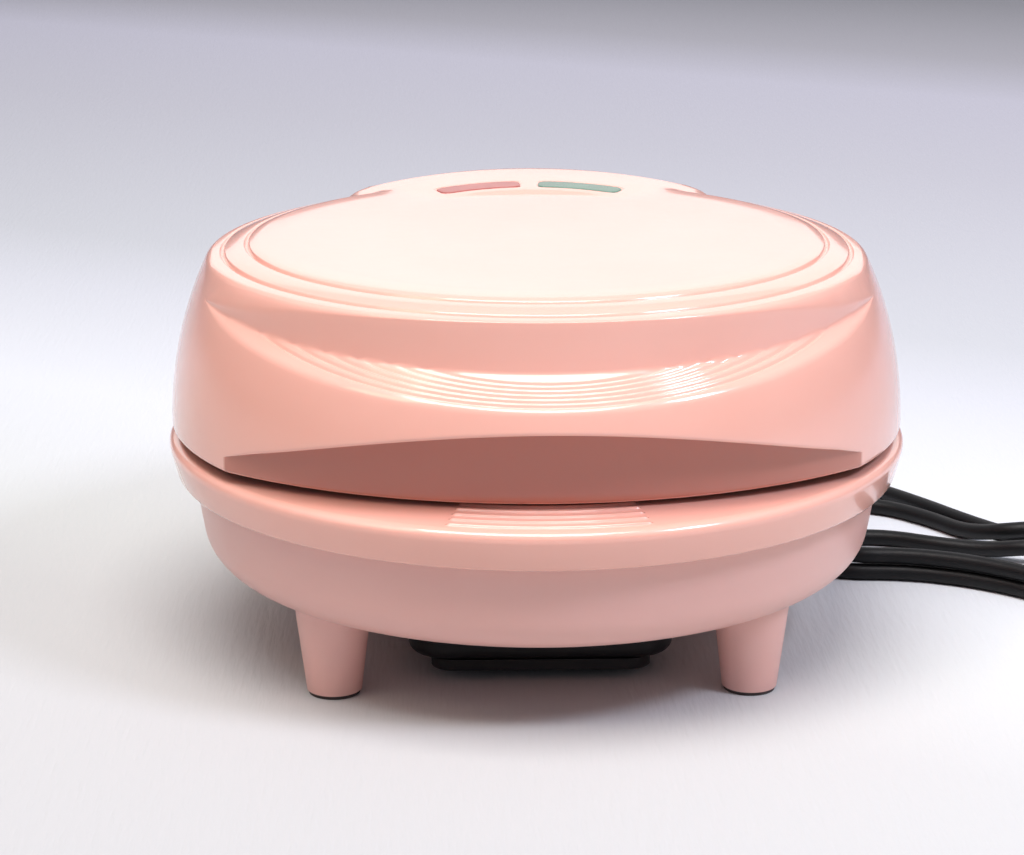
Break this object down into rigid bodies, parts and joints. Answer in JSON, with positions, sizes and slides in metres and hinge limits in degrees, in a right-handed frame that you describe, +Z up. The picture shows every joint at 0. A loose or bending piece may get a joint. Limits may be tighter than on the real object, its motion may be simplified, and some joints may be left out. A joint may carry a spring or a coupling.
{
  "type": "cupcake maker",
  "caption": "Round countertop cupcake cooker with a hinged lid, a welled baking plate, lamp windows, a finger grip, a cord winder and a mains cord.",
  "frame": {"origin": "under the middle of the object on the floor, its cord left out", "axes": "+Z up, front towards -Y, the hinge runs along X"},
  "size_m": [0.3656, 0.3033, 0.1305],
  "materials": {
    "pink_gloss": "glossy pastel pink moulding",
    "pink_satin": "pastel pink moulding, a little duller",
    "inner_plastic": "plain black moulding",
    "plate_coating": "dark grey non-stick coating on a casting",
    "heater_sheath": "dull steel sheath",
    "reflector_sheet": "bright pressed sheet",
    "screw_steel": "zinc-plated steel",
    "pin_steel": "drawn steel",
    "red_window": "muted red, slightly see-through",
    "green_window": "muted green, slightly see-through",
    "lamp_glass": "clear glass",
    "black_plastic": "satin black moulding",
    "pad_rubber": "soft dark rubber",
    "cord_rubber": "satin black jacket",
    "lead_sleeving": "pale heat-proof sleeving",
    "plug_brass": "nickelled brass"
  },
  "bodies": {
    "base": {"base_collar": "pink_gloss", "base_pan": "pink_satin", "foot_front_left": "pink_satin", "foot_front_right": "pink_satin", "foot_rear_left": "pink_satin", "foot_rear_right": "pink_satin", "terminal_block": "inner_plastic", "lower_plate": "plate_coating", "lower_heater": "heater_sheath", "lower_reflector": "reflector_sheet", "lower_plate_screws": "screw_steel", "pan_screws": "screw_steel", "winder_screws": "screw_steel", "thermostat": "screw_steel", "hinge_pin": "pin_steel", "cord_winder": "black_plastic", "plug_body": "black_plastic", "foot_pad_front_left": "pad_rubber", "foot_pad_front_right": "pad_rubber", "foot_pad_rear_left": "pad_rubber", "foot_pad_rear_right": "pad_rubber", "power_cord_lead": "cord_rubber", "power_cord_coil": "cord_rubber", "cord_sleeve": "cord_rubber", "supply_leads": "lead_sleeving", "thermal_fuse": "lead_sleeving", "plug_pins": "plug_brass"},
    "lid": {"lid_shell": "pink_gloss", "lid_ring": "inner_plastic", "lid_ring_screws": "screw_steel", "upper_plate": "plate_coating", "upper_heater": "heater_sheath", "upper_reflector": "reflector_sheet", "upper_plate_screws": "screw_steel", "red_lens": "red_window", "green_lens": "green_window", "red_lamp": "lamp_glass", "green_lamp": "lamp_glass", "lamp_holder": "inner_plastic"}
  },
  "joints": [
    {"name": "lid_hinge", "type": "hinge", "parent": "base", "child": "lid", "pos_m": [0, 0.11543, 0.07], "axis": [-1, 0, 0], "range_deg": [0, 100]}
  ]
}
